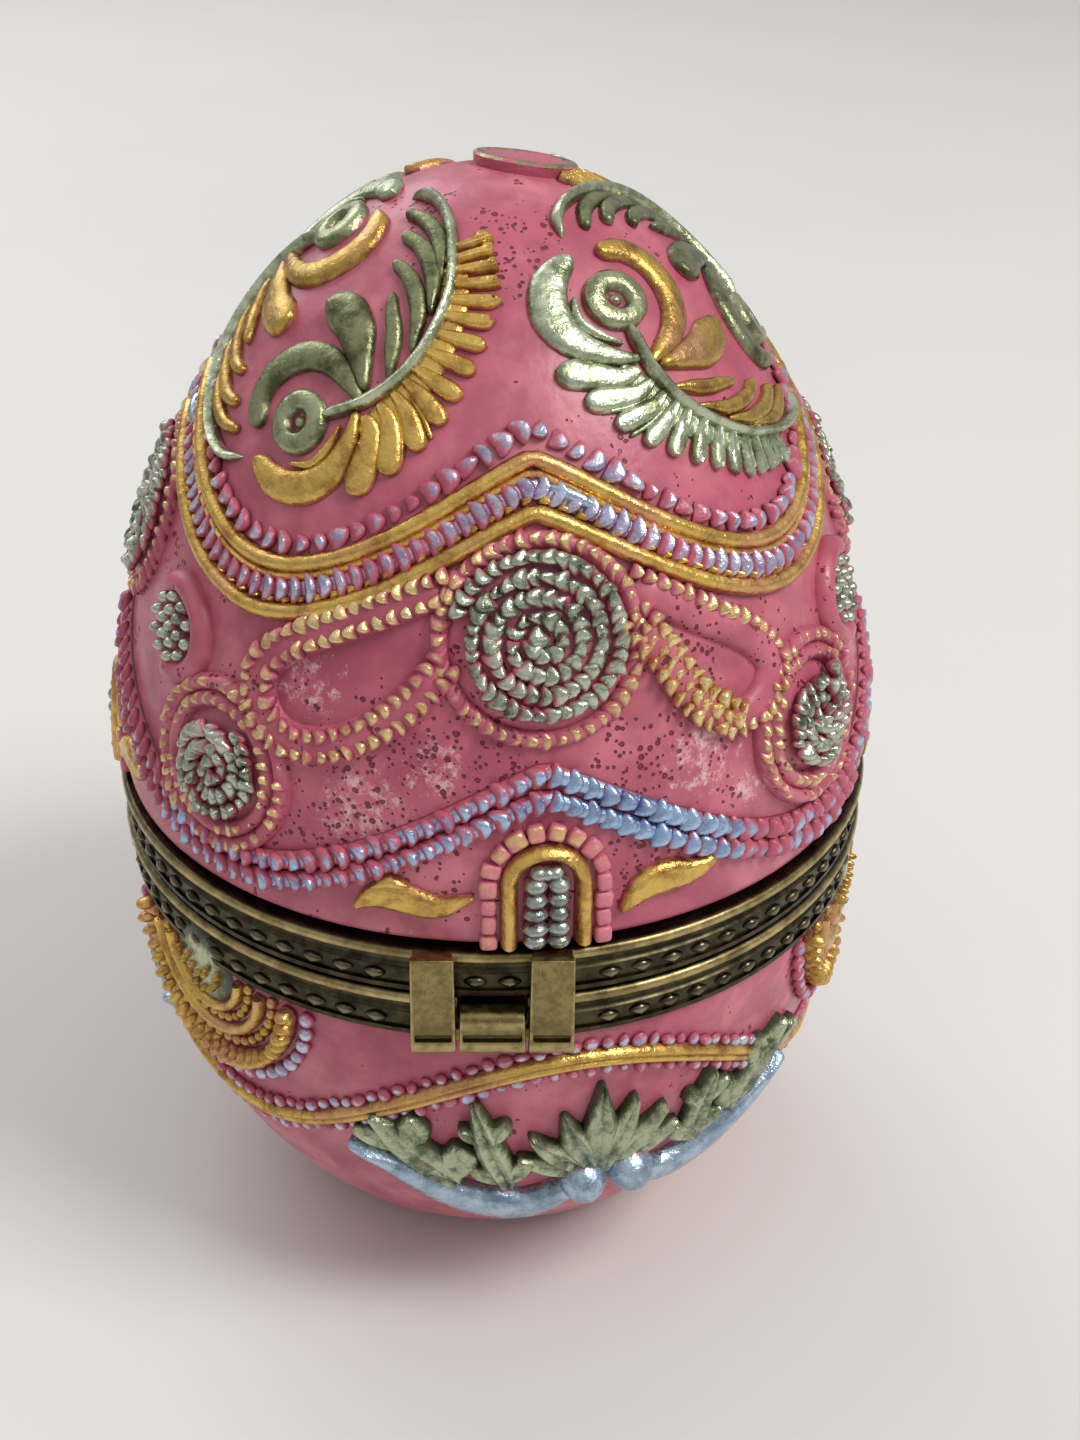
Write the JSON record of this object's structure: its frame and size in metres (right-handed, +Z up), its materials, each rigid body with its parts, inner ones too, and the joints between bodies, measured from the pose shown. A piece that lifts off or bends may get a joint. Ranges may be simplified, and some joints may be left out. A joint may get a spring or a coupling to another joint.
{
  "type": "hinged decorated egg box",
  "caption": "Egg-shaped cast resin keepsake box with raised folk ornament, brass bezels, a strap hinge at the back and a snap clasp at the front.",
  "frame": {"origin": "centre of the foot on the table", "axes": "+Z up through the tip of the egg, -Y towards the hinge, +Y towards the clasp, +X to the right when facing the hinge"},
  "size_m": [0.0556, 0.0589, 0.0798],
  "materials": {
    "resin": "satin cast resin, pink, with rubbed metallic ornament",
    "gold_rub": "rubbed gold paint",
    "silver_green_rub": "rubbed silver-green paint",
    "lilac_blue_rub": "rubbed lilac-blue paint",
    "antique_brass": "antiqued, darkened in the hollows",
    "cement": "dull dark"
  },
  "bodies": {
    "base": {"base_shell": "resin", "base_bezel": "antique_brass", "base_cement": "cement", "locating_collar": "antique_brass", "hinge_tab": "antique_brass", "hinge_pin": "antique_brass", "clasp_catch": "antique_brass"},
    "lid": {"lid_shell": "resin", "lid_bezel": "antique_brass", "lid_cement": "cement", "hinge_strap_left": "antique_brass", "hinge_strap_right": "antique_brass", "clasp_tongue": "antique_brass"}
  },
  "joints": [
    {"name": "lid_hinge", "type": "hinge", "parent": "base", "child": "lid", "pos_m": [0, -0.02775, 0.0311], "axis": [1, 0, 0], "range_deg": [0, 100]}
  ]
}
